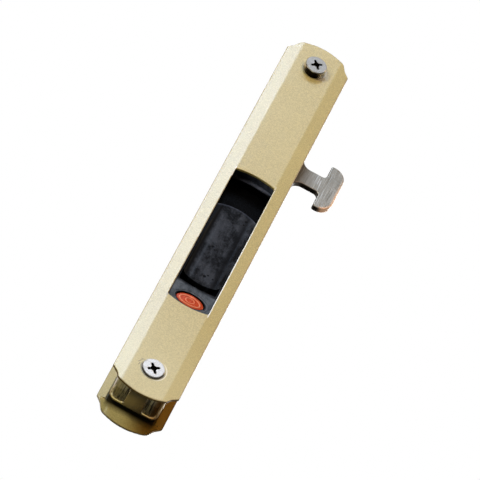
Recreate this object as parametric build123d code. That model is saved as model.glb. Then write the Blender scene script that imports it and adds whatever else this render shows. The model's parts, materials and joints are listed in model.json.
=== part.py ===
from build123d import *
import math
import os

# Sliding door lock. Sizes are millimetres and degrees.
# X runs from the plates' middle towards the hook, Y from the front plate to the rear plate, Z up the lock.
# Y is zero on the face of the door stile that the front plate sits on.

# Door stile and running gaps
stile_thickness = 19.0
seat_gap = 0.3
running_gap = 0.3
shaft_gap = 0.05
cut_overrun = 1.0

# Face plates, front and rear alike
plate_length = 210.0
plate_width = 28.0
plate_flat_width = 17.5
plate_sheet = 1.0
plate_bevel_drop = 1.0
plate_ridge_radius = 4.0
plate_edge_round = 0.3
plate_rim_width = 1.8
plate_rib_width = 1.2
end_arc_radius = 22.0
shoulder_inset = 4.0
shoulder_radius = 2.5
cove_inset = 2.4
cove_drop = 5.2
cove_radius = 4.0
corner_drop = 7.3
corner_radius = 1.0

# Window in each plate, its ends as shares of half the plate's length
window_top_share = 0.2167
window_bottom_share = -0.5286
window_end_radius = 29.0
window_corner_radius = 1.0

# Case between the plates
plate_end_overhang = 8.0
case_width = 20.8
case_corner_radius = 3.25
case_wall = 1.0
case_rear_wall = 1.5
case_foot_radius = 2.0
end_block_length = 11.2
crossbar_gap = 0.7
crossbar_height = 3.4
pocket_inner = 3.9
pocket_outer = 9.0
pocket_depth = 5.5
pocket_floor_height = 2.9
pocket_round = 1.0
pocket_lip_round = 0.5

# Cover over the hook and spring chamber
cover_thickness = 1.0
cover_overlap = 5.0
cover_hole_pitch_x = 15.4
cover_screw_inset = 1.75
cover_screw_radius = 0.8
cover_screw_head_radius = 1.6
cover_screw_head_edge = 0.2
cover_screw_length = 5.0
boss_gap = 0.3

# Face screws and the posts that take them
screw_inset = 5.6
screw_head_radius = 4.5
screw_head_edge = 0.5
screw_head_proud = 0.6
screw_shank_radius = 2.45
screw_shank_length = 15.0
screw_tip = 0.6
loose_screw_lift = 2.8
countersink_gap = 0.25
cross_length = 5.2
cross_arm_width = 1.15
cross_hub_radius = 1.25
cross_depth = 2.0
cross_turn = 36.0
post_outer_radius = 3.6
post_top = 3.0

# Liner trays behind the windows
liner_wall = 0.6
liner_floor = 0.9
liner_end_wall = 1.15
liner_floor_face = 5.7
liner_rail_face = 0.8
ledge_width = 1.9
ledge_face = 2.0
ledge_round = 0.4

# Sliders
slider_face = -1.2
slider_top_room = 2.05
slider_end_radius = 18.0
slider_skin_back = 1.7
slider_block_back = 5.4
slider_lip_length = 15.8
slider_flange_front = -0.7
slider_flange_back = 0.5
slider_flange_reach = 0.65
slider_corner_radius = 0.8
scoop_rim = 0.45
scoop_depth = 2.5
scoop_flank_radius = 2.2
scoop_end_rise = 16.1
scoop_end_radius = 19.5
groove_end_rise = 11.1
groove_end_radius = 50.0
groove_floor = 4.2
pad_ring_offset = 1.0
pad_ring_width = 0.3
pad_ring_depth = 0.15

# Release button in the front slider's pad
button_length = 11.6
button_width = 6.0
button_rise = 4.1
button_gap = 0.25
button_face = -0.45
button_crown_radius = 40.0
button_skin = 0.9
button_skirt = 1.3
button_wall = 0.7
button_stem_radius = 1.0
button_floor_thickness = 1.0
button_travel = 1.0
button_clip_radius = 1.9
button_clip_thickness = 0.3
button_spring_radius = 1.7
button_spring_wire = 0.3
button_spring_turns = 3

# Carriage, hook and drive
slide_travel = 16.0
tongue_thickness = 5.0
carriage_block_thickness = 12.0
hook_height_share = 0.4362
hook_thickness = 2.8
hook_tang_start = -7.0
hook_tang_half_height = 8.4
hook_neck_half_height = 4.3
hook_root_share = 0.97561
hook_head_inner = 25.1
hook_head_outer = 32.1
hook_head_half_height = 12.25
hook_throat_radius = 1.8
hook_tip_radius = 1.0
hook_nose_radius = 5.5
hook_edge_round = 0.4
rivet_radius = 1.5
rivet_head_radius = 2.2
rivet_head_height = 0.5
rivet_pitch = 9.0
drive_pin_radius = 2.0
drive_pin_drop = 12.0
drive_pin_depth = 3.0

# Return spring, its rod, rails and buffers
spring_radius = 3.2
spring_wire = 0.9
spring_turns = 10
spring_bore_radius = 4.1
spring_seat_wall = 2.8
rod_radius = 2.2
rod_tip_gap = 1.3
rail_inner = 6.4
rail_outer = 8.6
rail_gap = 0.3
upper_buffer_radius = 6.0
upper_buffer_thickness = 1.2
lower_buffer_height = 3.35

# Sizes that follow from those above
half_length = plate_length / 2
half_width = plate_width / 2
flat_half = plate_flat_width / 2
plate_depth = plate_sheet + plate_bevel_drop
middle = stile_thickness / 2
case_front = -plate_bevel_drop
case_back = stile_thickness + plate_bevel_drop
case_half = case_width / 2
case_end = half_length - plate_end_overhang
case_length = 2 * case_end
inner_half = case_half - case_wall
rear_wall_face = case_back - case_rear_wall
window_half = flat_half
liner_half = inner_half - liner_wall
window_top = window_top_share * half_length
window_bottom = window_bottom_share * half_length
liner_top = window_top + liner_end_wall
liner_bottom = window_bottom - liner_end_wall - window_corner_radius
crossbar_bottom = liner_top + crossbar_gap
chamber_bottom = crossbar_bottom + crossbar_height
chamber_top = case_end - end_block_length
screw_offset = case_end - screw_inset
slider_top = window_top - ledge_width - slide_travel - slider_top_room
slider_block_top = slider_top - slider_lip_length
scoop_end = window_bottom + scoop_end_rise
groove_end = window_bottom + groove_end_rise
button_height = window_bottom + button_rise
drive_pin_height = slider_block_top - drive_pin_drop
hook_height = hook_height_share * half_length
hook_root_radius = hook_root_share * (hook_tang_half_height - hook_neck_half_height)
spring_seat = hook_height + hook_tang_half_height + spring_seat_wall
rod_length = chamber_top - spring_seat - slide_travel - rod_tip_gap
carriage_bottom = liner_bottom + lower_buffer_height + running_gap
carriage_block_top = chamber_top - upper_buffer_thickness - running_gap - slide_travel
slider_half = liner_half - running_gap
tongue_front = middle - tongue_thickness / 2
tongue_back = middle + tongue_thickness / 2
block_front = middle - carriage_block_thickness / 2
block_back = middle + carriage_block_thickness / 2
carriage_half = inner_half - running_gap
post_bore_radius = screw_shank_radius + shaft_gap
boss_radius = post_outer_radius + shaft_gap
cover_bottom = crossbar_bottom
cover_top = chamber_top + cover_overlap
button_floor_back = slider_block_back - button_clip_thickness - button_travel - 2 * shaft_gap
button_floor = button_floor_back - button_floor_thickness
quarter_turn = math.degrees(math.pi / 2)


def block(low_x, high_x, low_y, high_y, low_z, high_z):
    """Box between two corners."""
    centre = Pos((low_x + high_x) / 2, (low_y + high_y) / 2, (low_z + high_z) / 2)
    return centre * Box(high_x - low_x, high_y - low_y, high_z - low_z)


def through(outline, from_y, to_y):
    """Solid with an outline drawn in X and Z, from one depth to another."""
    return extrude(Plane.XZ.offset(-to_y) * outline, amount=to_y - from_y)


def turned(profile, x, z):
    """Solid turned about a line along Y through x and z, from points of radius and depth."""
    face = make_face(Polyline(*profile, close=True))
    return Pos(x, 0, z) * revolve(face, Axis.Y)


def mirrored(shape):
    """The same piece on the other side of the door stile."""
    return mirror(shape, about=Plane.XZ.offset(-middle))


def arc_drop(radius, reach):
    """How far an arc falls below its top at a distance from its middle."""
    return radius - math.sqrt(radius**2 - reach**2)


def capsule_arc_outline(half, low, high, low_radius, high_radius):
    """Strip along Z whose two ends bulge outwards on arcs."""
    low_corner = low + arc_drop(low_radius, half)
    high_corner = high - arc_drop(high_radius, half)
    left = Line((-half, low_corner), (-half, high_corner))
    top = ThreePointArc((-half, high_corner), (0, high), (half, high_corner))
    right = Line((half, high_corner), (half, low_corner))
    bottom = ThreePointArc((half, low_corner), (0, low), (-half, low_corner))
    return make_face([left, top, right, bottom])


def window_outline():
    """Window opening with arched ends and small round corners."""
    face = capsule_arc_outline(
        window_half, window_bottom, window_top, window_end_radius, window_end_radius
    )
    return fillet(face.vertices(), window_corner_radius)


def plate_outline():
    """Face plate outline: arched end, round shoulder, cove and corner at each end."""
    shoulder_x = half_width - shoulder_inset
    shoulder_z = half_length - arc_drop(end_arc_radius, shoulder_x)
    cove_x = half_width - cove_inset
    cove_z = half_length - cove_drop
    corner_z = half_length - corner_drop
    edges = []
    for side in (-1, 1):
        edges.append(
            Polyline(
                (side * shoulder_x, shoulder_z),
                (side * cove_x, cove_z),
                (side * half_width, corner_z),
                (side * half_width, -corner_z),
                (side * cove_x, -cove_z),
                (side * shoulder_x, -shoulder_z),
            )
        )
        edges.append(
            ThreePointArc(
                (-shoulder_x, side * shoulder_z),
                (0, side * half_length),
                (shoulder_x, side * shoulder_z),
            )
        )
    face = make_face(edges)
    rounds = ((shoulder_x, shoulder_radius), (cove_x, cove_radius), (half_width, corner_radius))
    for x, radius in rounds:
        nearest = face.vertices().sort_by(lambda vertex: abs(abs(vertex.X) - x))[:4]
        face = fillet(nearest, radius)
    return face


def plate_section():
    """Outer cross-section of a plate: a flat between two shallow bevels."""
    face = make_face(
        Polyline(
            (-half_width, 0),
            (-half_width, -plate_sheet),
            (-flat_half, -plate_depth),
            (flat_half, -plate_depth),
            (half_width, -plate_sheet),
            (half_width, 0),
            close=True,
        )
    )
    ridges = face.vertices().sort_by(Axis.Y)[:2]
    return fillet(ridges, plate_ridge_radius)


def plate_hollow(rib_width):
    """What is taken out of a plate's back: a bed for the case, and the ends thinned to the sheet."""
    bed_half = case_half + seat_gap
    bed_end = case_end + seat_gap
    hollow = block(-bed_half, bed_half, case_front, cut_overrun, -bed_end, bed_end)
    rim_x = half_width - plate_rim_width
    lean = (rim_x - flat_half) / plate_bevel_drop
    thinned = make_face(
        Polyline(
            (-rim_x - lean * cut_overrun, cut_overrun),
            (-flat_half, -plate_bevel_drop),
            (flat_half, -plate_bevel_drop),
            (rim_x + lean * cut_overrun, cut_overrun),
            close=True,
        )
    )
    start = bed_end + rib_width
    for side in (-1, 1):
        length = half_length - start + cut_overrun
        end = Pos(0, 0, start) * extrude(thinned, amount=length)
        hollow += end if side > 0 else mirror(end, about=Plane.XY)
    return hollow


def face_plate(rib_width):
    """Gold face plate with its window, drawn at the front of the lock."""
    plate = through(plate_outline(), -plate_depth, 0)
    plate &= extrude(plate_section(), amount=half_length, both=True)
    plate = fillet(plate.edges().filter_by(is_rim_edge), plate_edge_round)
    plate -= plate_hollow(rib_width)
    plate -= through(window_outline(), -plate_depth - cut_overrun, cut_overrun)
    return fillet(plate.edges().filter_by(is_window_edge), plate_edge_round)


def is_rim_edge(edge):
    """Whether an edge of the plain plate is on the front of its outline, and not along a ridge."""
    box = edge.bounding_box()
    on_front = box.max.Y < -plate_sheet / 2
    along_ridge = box.size.X < plate_edge_round and box.max.X < half_width - plate_edge_round
    along_ridge = along_ridge and box.min.X > plate_edge_round - half_width
    return on_front and not along_ridge


def is_window_edge(edge):
    """Whether an edge is part of the window's front rim."""
    centre = edge.center()
    inside_x = abs(centre.X) < window_half + plate_edge_round
    inside_z = window_bottom - plate_edge_round < centre.Z < window_top + plate_edge_round
    on_front = edge.bounding_box().max.Y < -plate_sheet - plate_edge_round
    return inside_x and inside_z and on_front


def screw_sites():
    """Heights of the two face screws."""
    return (-screw_offset, screw_offset)


def countersink(z, back):
    """Conical seat of a face screw head, and its clearance bore as far as `back`."""
    top = -plate_depth - screw_head_proud + screw_head_edge
    wide = screw_head_radius + countersink_gap
    narrow = screw_shank_radius + countersink_gap
    profile = (
        (0, top - cut_overrun),
        (wide, top - cut_overrun),
        (wide, top),
        (narrow, top + wide - narrow),
        (narrow, back),
        (0, back),
    )
    return turned(profile, 0, z)


def front_plate():
    """Front face plate, countersunk for the two face screws."""
    plate = face_plate(plate_rib_width)
    for z in screw_sites():
        plate -= countersink(z, cut_overrun)
    return plate


def rear_plate():
    """Rear face plate, with no screw holes through it."""
    return mirrored(face_plate(0))


def case_body():
    """Die-cast case: end blocks with screw bosses, hook chamber and window bay."""
    outline = fillet(Rectangle(case_width, case_length).vertices(), case_corner_radius)
    case = through(outline, case_front, case_back)
    foot = case.faces().sort_by(Axis.Y)[-1].edges()
    case = fillet(foot, case_foot_radius)
    bay = block(
        -inner_half, inner_half,
        case_front - cut_overrun, case_back + cut_overrun,
        liner_bottom, crossbar_bottom,
    )
    chamber = block(
        -inner_half, inner_half,
        case_front - cut_overrun, rear_wall_face,
        chamber_bottom, chamber_top,
    )
    channel = block(
        -inner_half, inner_half,
        tongue_front - running_gap, tongue_back + running_gap,
        crossbar_bottom - cut_overrun, chamber_bottom + cut_overrun,
    )
    hollow = block(
        -inner_half, inner_half,
        case_front - cut_overrun, rear_wall_face,
        -chamber_top, liner_bottom - case_rear_wall,
    )
    case -= bay + chamber + channel + hollow
    case -= end_pockets()
    case = fillet(case.edges().filter_by(is_pocket_lip), pocket_lip_round)
    case -= hook_slot()
    case -= cover_bed()
    for z in screw_sites():
        case -= countersink(z, post_top)
        bore = Pos(0, 0, z) * turned_bore(boss_radius, post_top, case_back + cut_overrun)
        case -= bore
    for x, z in cover_screw_places():
        case -= Pos(x, 0, z) * turned_bore(cover_screw_radius, case_front, cover_screw_end())
    for side in (-1, 1):
        case += carriage_rail(side, block_back + rail_gap, rear_wall_face)
    return case


def turned_bore(radius, from_y, to_y):
    """Plain round bore along Y on the lock's centre line."""
    return through(Circle(radius), from_y, to_y)


def end_pockets():
    """Two pockets in each end block, open to the end and to the front, either side of the boss."""
    pocket_floor = case_back - pocket_floor_height
    width = pocket_outer - pocket_inner
    section = Rectangle(width, pocket_floor + cut_overrun + plate_bevel_drop)
    section = fillet(section.vertices().sort_by(Axis.Y)[-2:], pocket_round)
    centre_y = (pocket_floor - cut_overrun - plate_bevel_drop) / 2
    section = Pos((pocket_inner + pocket_outer) / 2, centre_y) * section
    pocket = Pos(0, 0, case_end - pocket_depth) * extrude(section, amount=pocket_depth + cut_overrun)
    upper = pocket + mirror(pocket, about=Plane.YZ)
    return upper + mirror(upper, about=Plane.XY)


def is_pocket_lip(edge):
    """Whether an edge is the mouth of an end pocket."""
    box = edge.bounding_box()
    near, far = sorted((abs(box.min.X), abs(box.max.X)))
    beside_boss = near > pocket_inner - pocket_lip_round and far < pocket_outer + pocket_lip_round
    height = min(abs(box.min.Z), abs(box.max.Z))
    at_mouth = height > case_end - pocket_depth + pocket_round and box.size.Z < pocket_depth / 2
    return beside_boss and at_mouth and box.min.Y > case_front - cut_overrun and not is_on_front(box)


def is_on_front(box):
    """Whether an edge's box lies in the case's front face."""
    return box.max.Y < case_front + pocket_lip_round


def hook_slot():
    """Slot in the hook side of the case, long enough for the hook's travel."""
    low = hook_height - hook_tang_half_height - running_gap
    high = hook_height + hook_tang_half_height + slide_travel + running_gap
    half = hook_thickness / 2 + running_gap
    return block(inner_half - cut_overrun, case_half + cut_overrun, middle - half, middle + half, low, high)


def cover_bed():
    """Step in the front of the case that the chamber cover lies in."""
    return block(
        -case_half - cut_overrun, case_half + cut_overrun,
        case_front - cut_overrun, case_front + cover_thickness,
        cover_bottom, cover_top,
    ) - through(Pos(0, screw_offset) * Circle(cover_notch_radius()), case_front, case_front + cover_thickness)


def cover_notch_radius():
    """Radius of the boss that the chamber cover is notched around."""
    return screw_offset - chamber_top


def cover_screw_places():
    """Middle of each chamber cover screw."""
    half = cover_hole_pitch_x / 2
    low = cover_bottom + cover_screw_inset
    high = cover_top - cover_screw_inset
    return [(x, z) for x in (-half, half) for z in (low, high)]


def cover_screw_end():
    """Depth that the chamber cover screws reach."""
    return case_front + cover_screw_length


def case_cover():
    """Flat steel cover over the hook and spring chamber."""
    cover = block(
        -case_half, case_half,
        case_front, case_front + cover_thickness,
        cover_bottom, cover_top,
    )
    notch = Pos(0, screw_offset) * Circle(cover_notch_radius() + boss_gap)
    cover -= through(notch, case_front - cut_overrun, cover_thickness)
    for x, z in cover_screw_places():
        cover -= cover_screw_body(x, z)
    return cover


def cover_screw_body(x, z):
    """Countersunk cover screw without its driving slot."""
    cone_end = case_front + cover_screw_head_edge + cover_screw_head_radius - cover_screw_radius
    profile = (
        (0, case_front),
        (cover_screw_head_radius, case_front),
        (cover_screw_head_radius, case_front + cover_screw_head_edge),
        (cover_screw_radius, cone_end),
        (cover_screw_radius, cover_screw_end()),
        (0, cover_screw_end()),
    )
    return turned(profile, x, z)


def cover_screws():
    """Four small countersunk screws that hold the chamber cover."""
    slot_depth = cover_screw_radius / 2
    slot = Rectangle(cover_screw_head_radius, slot_depth)
    screws = Part()
    for x, z in cover_screw_places():
        screw = cover_screw_body(x, z)
        for turn in (0, quarter_turn):
            arm = Pos(x, z) * Rot(0, 0, turn) * slot
            screw -= through(arm, case_front - cut_overrun, case_front + slot_depth)
        screws += screw
    return screws


def face_screw(z, lift):
    """Countersunk cross-head screw, standing out from its seat by `lift`."""
    top = -plate_depth - screw_head_proud - lift
    cone = top + screw_head_edge
    shank = cone + screw_head_radius - screw_shank_radius
    end = shank + screw_shank_length
    crown = screw_head_edge / 2
    profile = (
        (0, top),
        (screw_head_radius - crown, top),
        (screw_head_radius, top + crown),
        (screw_head_radius, cone),
        (screw_shank_radius, shank),
        (screw_shank_radius, end - screw_tip),
        (screw_shank_radius - screw_tip, end),
        (0, end),
    )
    screw = turned(profile, 0, z)
    recess = through(Circle(cross_hub_radius), top - cut_overrun, top + cross_depth)
    arm = SlotOverall(cross_length, cross_arm_width)
    for turn in (cross_turn, cross_turn + quarter_turn):
        recess += through(Rot(0, 0, turn) * arm, top - cut_overrun, top + cross_depth)
    return screw - Pos(0, 0, z) * recess


def lower_screw():
    """Lower face screw, driven home."""
    return face_screw(-screw_offset, 0)


def upper_screw():
    """Upper face screw, backed out of its countersink."""
    return face_screw(screw_offset, loose_screw_lift)


def threaded_post(z):
    """Round post that stands on the rear plate and takes a face screw."""
    post = through(Circle(post_outer_radius), post_top, case_back)
    cone = screw_head_radius - screw_shank_radius
    screw_end = screw_head_edge + cone + screw_shank_length - plate_depth - screw_head_proud
    bore = through(Circle(post_bore_radius), post_top - cut_overrun, screw_end + screw_shank_radius)
    return Pos(0, 0, z) * (post - bore)


def liner_hole():
    """Inside of the liner tray, with the window's arched ends."""
    return capsule_arc_outline(
        liner_half, window_bottom, window_top, window_end_radius, window_end_radius
    )


def pin_slot():
    """Slot in a liner floor for the drive pin's travel."""
    low = drive_pin_height - drive_pin_radius - running_gap
    high = drive_pin_height + slide_travel + drive_pin_radius + running_gap
    half = drive_pin_radius + running_gap
    back = liner_floor_face + liner_floor + cut_overrun
    return block(-half, half, liner_floor_face - cut_overrun, back, low, high)


def front_liner():
    """Black tray behind the window, with a ledge at its top and rails for the slider's flanges."""
    tray = block(
        -inner_half, inner_half,
        case_front, liner_floor_face + liner_floor,
        liner_bottom, liner_top,
    )
    tray -= through(liner_hole(), case_front - cut_overrun, liner_floor_face)
    rail_end = arc_drop(window_end_radius, window_half)
    tray -= block(
        -inner_half - cut_overrun, inner_half + cut_overrun,
        case_front - cut_overrun, liner_rail_face,
        window_bottom + rail_end, window_top - rail_end,
    )
    tray += liner_ledge()
    return tray - pin_slot()


def liner_ledge():
    """Step across the top of the tray."""
    band = through(liner_hole(), ledge_face, liner_floor_face)
    cut = through(Pos(0, -ledge_width) * liner_hole(), ledge_face - cut_overrun, liner_floor_face)
    lower_half = block(
        -inner_half, inner_half,
        ledge_face - cut_overrun, liner_floor_face,
        window_bottom - cut_overrun, 0,
    )
    ledge = band - cut - lower_half
    lip = ledge.edges().filter_by(is_ledge_lip)
    return fillet(lip, ledge_round)


def is_ledge_lip(edge):
    """Whether an edge is the ledge's front lower lip."""
    centre = edge.center()
    on_face = edge.bounding_box().max.Y < ledge_face + ledge_round / 2
    return on_face and abs(centre.X) < liner_half / 2 and centre.Z < window_top - ledge_width / 2


def slider_outline():
    """Slider seen from the front: arched ends, the upper one rounder."""
    face = capsule_arc_outline(
        slider_half, window_bottom + running_gap, slider_top, window_end_radius, slider_end_radius
    )
    return fillet(face.vertices(), slider_corner_radius)


def scoop():
    """Trough in the slider's face that deepens from nothing at the top to its full depth."""
    half = slider_half - scoop_rim
    length = slider_top - scoop_end
    tilt = math.degrees(math.atan(scoop_depth / length))
    section = Rectangle(2 * half, 2 * (scoop_depth + scoop_flank_radius))
    section = fillet(section.vertices().sort_by(Axis.Y)[-2:], scoop_flank_radius)
    section = Pos(0, -scoop_depth - scoop_flank_radius) * section
    run = extrude(section, amount=2 * length)
    run = Pos(0, slider_face, slider_top) * Rot(180 + tilt, 0, 0) * mirror(run, about=Plane.XZ)
    return run & through(scoop_end_outline(), slider_face - cut_overrun, groove_floor)


def scoop_end_outline():
    """Region of the slider's front above the scoop's arched lower end."""
    return capsule_arc_outline(
        slider_half, scoop_end, slider_top + slider_end_radius, scoop_end_radius, slider_end_radius
    )


def finger_groove():
    """Deep groove across the slider between the scoop and the pad."""
    half = slider_half - scoop_rim
    groove = capsule_arc_outline(
        half, groove_end, slider_block_top, groove_end_radius, groove_end_radius
    )
    groove -= scoop_end_outline()
    return through(groove, slider_face - cut_overrun, groove_floor)


def slider_blank():
    """Slider moulding with its scoop, finger groove, side flanges and pin bore."""
    slider = through(slider_outline(), slider_face, slider_skin_back)
    lower = block(
        -slider_half - cut_overrun, slider_half + cut_overrun,
        slider_skin_back, slider_block_back,
        window_bottom, slider_block_top,
    )
    slider += through(slider_outline(), slider_skin_back, slider_block_back) & lower
    flange_half = slider_half + slider_flange_reach
    flange_end = arc_drop(slider_end_radius, slider_half)
    low = window_bottom + running_gap + arc_drop(window_end_radius, window_half) + slider_corner_radius
    slider += block(
        -flange_half, flange_half,
        slider_flange_front, slider_flange_back,
        low, slider_top - flange_end - slider_corner_radius,
    )
    slider -= scoop()
    slider -= finger_groove()
    bore = through(Circle(drive_pin_radius + shaft_gap), slider_block_back - drive_pin_depth, slider_block_back)
    return slider - Pos(0, 0, drive_pin_height) * bore


def oval(grow):
    """Button outline, grown all round."""
    return Pos(0, button_height) * Ellipse(button_length / 2 + grow, button_width / 2 + grow)


def front_slider():
    """Thumb slider of the front plate, with the well of the release button."""
    slider = slider_blank()
    slider -= through(oval(button_gap), slider_face - cut_overrun, button_floor)
    ring = oval(pad_ring_offset + pad_ring_width) - oval(pad_ring_offset)
    slider -= through(ring, slider_face - cut_overrun, slider_face + pad_ring_depth)
    site = Pos(0, 0, button_height)
    stem_hole = through(Circle(button_stem_radius + shaft_gap), button_floor - cut_overrun, slider_block_back)
    clip_well = through(
        Circle(button_clip_radius + running_gap),
        button_floor_back,
        slider_block_back + cut_overrun,
    )
    return slider - site * (stem_hole + clip_well)


def rear_slider():
    """Thumb slider of the rear plate, with a plain pad."""
    return mirrored(slider_blank())


def release_button():
    """Oval push button with a crowned face, a skirt and a central stem."""
    skirt_end = button_face + button_skirt
    cap = through(oval(0), button_face - cut_overrun, skirt_end)
    crown = Pos(0, button_face - arc_drop(button_crown_radius, button_length / 2), button_height)
    ball = crown * Pos(0, button_crown_radius, 0) * Sphere(button_crown_radius)
    cap &= ball
    cap -= through(oval(-button_wall), button_face + button_skin, skirt_end + cut_overrun)
    stem_end = button_floor_back + button_clip_thickness + 2 * shaft_gap
    stem = through(Circle(button_stem_radius), button_face + button_skin - shaft_gap, stem_end)
    return cap + Pos(0, 0, button_height) * stem


def button_clip():
    """Spring clip on the button's stem, behind the well's floor."""
    front = button_floor_back + shaft_gap
    ring = Circle(button_clip_radius) - Circle(button_stem_radius)
    return Pos(0, 0, button_height) * through(ring, front, front + button_clip_thickness)


def coil(radius, wire, turns, length):
    """Round-wire spring along Z from zero to its length, as arcs of an eighth of a turn."""
    wire_radius = wire / 2
    rise = length - wire
    pitch = rise / turns
    steps = 4 * turns

    def place(step):
        angle = step * math.pi / 2
        return Vector(radius * math.cos(angle), radius * math.sin(angle), wire_radius + pitch * step / 4)

    def heading(step):
        angle = step * math.pi / 2
        slope = pitch / (2 * math.pi)
        return Vector(-radius * math.sin(angle), radius * math.cos(angle), slope).normalized()

    arcs = []
    for step in range(steps):
        start, end = place(step), place(step + 1)
        leave, arrive = heading(step), heading(step + 1)
        chord = end - start
        forward = chord.dot(leave + arrive)
        bend = 2 * (1 - leave.dot(arrive))
        reach = (-forward + math.sqrt(forward**2 + bend * chord.dot(chord))) / bend
        left = start + leave * reach
        right = end - arrive * reach
        joint = (left + right) * 0.5
        arcs.append(TangentArc(start, joint, tangent=leave))
        arcs.append(TangentArc(joint, end, tangent=(right - left).normalized()))
    path = Wire(arcs)
    section = Plane(origin=place(0), z_dir=heading(0)) * Circle(wire_radius)
    print("spring gap", round(coil_gap(radius, pitch, turns) - wire, 3))
    return sweep(section, path=path)


def coil_gap(radius, pitch, turns):
    """Least distance between points of a helix that are at least half a turn apart."""
    count = 48
    points = []
    for index in range(count * turns + 1):
        angle = 2 * math.pi * index / count
        points.append((radius * math.cos(angle), radius * math.sin(angle), pitch * index / count))
    least = math.inf
    for index, first in enumerate(points):
        for second in points[index + count // 2:]:
            least = min(least, math.dist(first, second))
    return least


def button_spring():
    """Small spring that pushes the button out."""
    seat = button_face + button_skin
    spring = coil(button_spring_radius, button_spring_wire, button_spring_turns, button_floor - seat)
    return Plane(origin=(0, seat, button_height), x_dir=(1, 0, 0), z_dir=(0, 1, 0)) * spring


def hook_outline():
    """Flat hook: tang in the case, narrow neck, and a head with a barb up and a barb down."""
    tang = Rectangle(half_width - hook_tang_start, 2 * hook_tang_half_height)
    tang = Pos((half_width + hook_tang_start) / 2, 0) * tang
    neck_length = hook_head_outer - half_width
    neck = Pos(half_width + neck_length / 2, 0) * Rectangle(neck_length, 2 * hook_neck_half_height)
    head_width = hook_head_outer - hook_head_inner
    head = Rectangle(head_width, 2 * hook_head_half_height)
    head = Pos((hook_head_inner + hook_head_outer) / 2, 0) * head
    outline = tang + neck + head
    rounds = (
        (half_width, hook_neck_half_height, hook_root_radius),
        (hook_head_inner, hook_neck_half_height, hook_throat_radius),
        (hook_head_inner, hook_head_half_height, hook_tip_radius),
        (hook_head_outer, hook_head_half_height, hook_nose_radius),
        (hook_tang_start, hook_tang_half_height, hook_tip_radius),
    )
    for x, z, radius in rounds:
        corners = outline.vertices().sort_by(lambda v: math.hypot(v.X - x, abs(v.Y) - z))[:2]
        outline = fillet(corners, radius)
    return outline


def rivet_places():
    """Middle of each hook rivet."""
    return [(0, hook_height - rivet_pitch / 2), (0, hook_height + rivet_pitch / 2)]


def hook():
    """Stainless hook with rounded edges outside the case."""
    front = middle - hook_thickness / 2
    back = middle + hook_thickness / 2
    plate = through(Pos(0, hook_height) * hook_outline(), front, back)
    faces = plate.faces().sort_by(Axis.Y)
    rims = faces[0].edges() + faces[-1].edges()
    outside = rims.filter_by(lambda edge: edge.bounding_box().min.X > half_width - hook_edge_round)
    plate = fillet(outside, hook_edge_round)
    for x, z in rivet_places():
        plate -= Pos(x, 0, z) * turned_bore(rivet_radius + shaft_gap, front - cut_overrun, back + cut_overrun)
    return plate


def hook_rivets():
    """Two rivets through the carriage block and the hook's tang."""
    front = block_front - rivet_head_height
    back = block_back + rivet_head_height
    profile = (
        (0, front),
        (rivet_head_radius, front),
        (rivet_head_radius, block_front),
        (rivet_radius, block_front),
        (rivet_radius, block_back),
        (rivet_head_radius, block_back),
        (rivet_head_radius, back),
        (0, back),
    )
    rivets = Part()
    for x, z in rivet_places():
        rivets += turned(profile, x, z)
    return rivets


def carriage_block_bottom():
    """Lower end of the carriage's thick block."""
    return chamber_bottom + 2 * running_gap


def carriage():
    """Slide that carries the hook: a thin tongue behind the sliders and a thick block above."""
    body = block(
        -carriage_half, carriage_half,
        tongue_front, tongue_back,
        carriage_bottom, carriage_block_top,
    )
    body += block(
        -carriage_half, carriage_half,
        block_front, block_back,
        carriage_block_bottom(), carriage_block_top,
    )
    slot_half = hook_thickness / 2 + shaft_gap
    body -= block(
        hook_tang_start - shaft_gap, carriage_half + cut_overrun,
        middle - slot_half, middle + slot_half,
        hook_height - hook_tang_half_height - shaft_gap,
        hook_height + hook_tang_half_height + shaft_gap,
    )
    for x, z in rivet_places():
        body -= Pos(x, 0, z) * turned_bore(rivet_radius, block_front, block_back)
    body -= Pos(0, 0, drive_pin_height) * turned_bore(drive_pin_radius, tongue_front, tongue_back)
    bore_length = carriage_block_top - spring_seat + cut_overrun
    bore = Pos(0, middle, spring_seat) * extrude(Circle(spring_bore_radius), amount=bore_length)
    return body - bore


def drive_pin():
    """Cross pin through the carriage tongue that drives both sliders."""
    front = slider_block_back - drive_pin_depth + running_gap
    pin = turned_bore(drive_pin_radius, front, stile_thickness - front)
    pin = chamfer(pin.edges().filter_by(GeomType.CIRCLE), running_gap)
    return Pos(0, 0, drive_pin_height) * pin


def return_spring():
    """Coil spring between the carriage and the top of the chamber."""
    spring = coil(spring_radius, spring_wire, spring_turns, chamber_top - spring_seat)
    return Pos(0, middle, spring_seat) * spring


def spring_rod():
    """Rod on the chamber's top that keeps the spring straight."""
    rod = Pos(0, middle, chamber_top - rod_length) * extrude(Circle(rod_radius), amount=rod_length)
    tip = rod.edges().sort_by(Axis.Z)[0]
    return chamfer(tip, running_gap)


def upper_buffer():
    """Rubber ring that the carriage meets at the top of its travel."""
    ring = Circle(upper_buffer_radius) - Circle(spring_bore_radius)
    bottom = chamber_top - upper_buffer_thickness
    return Pos(0, middle, bottom) * extrude(ring, amount=upper_buffer_thickness)


def lower_buffer():
    """Rubber block that the carriage rests on."""
    return block(
        -carriage_half, carriage_half,
        tongue_front, tongue_back,
        liner_bottom, carriage_bottom - running_gap,
    )


def carriage_rail(side, from_y, to_y):
    """One rail beside the carriage block, along the whole chamber."""
    low, high = sorted((side * rail_inner, side * rail_outer))
    return block(low, high, from_y, to_y, chamber_bottom, chamber_top)


def guide_rails():
    """Pair of nylon rails between the cover and the carriage block."""
    front = case_front + cover_thickness
    back = block_front - rail_gap
    return carriage_rail(-1, front, back) + carriage_rail(1, front, back)


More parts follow.
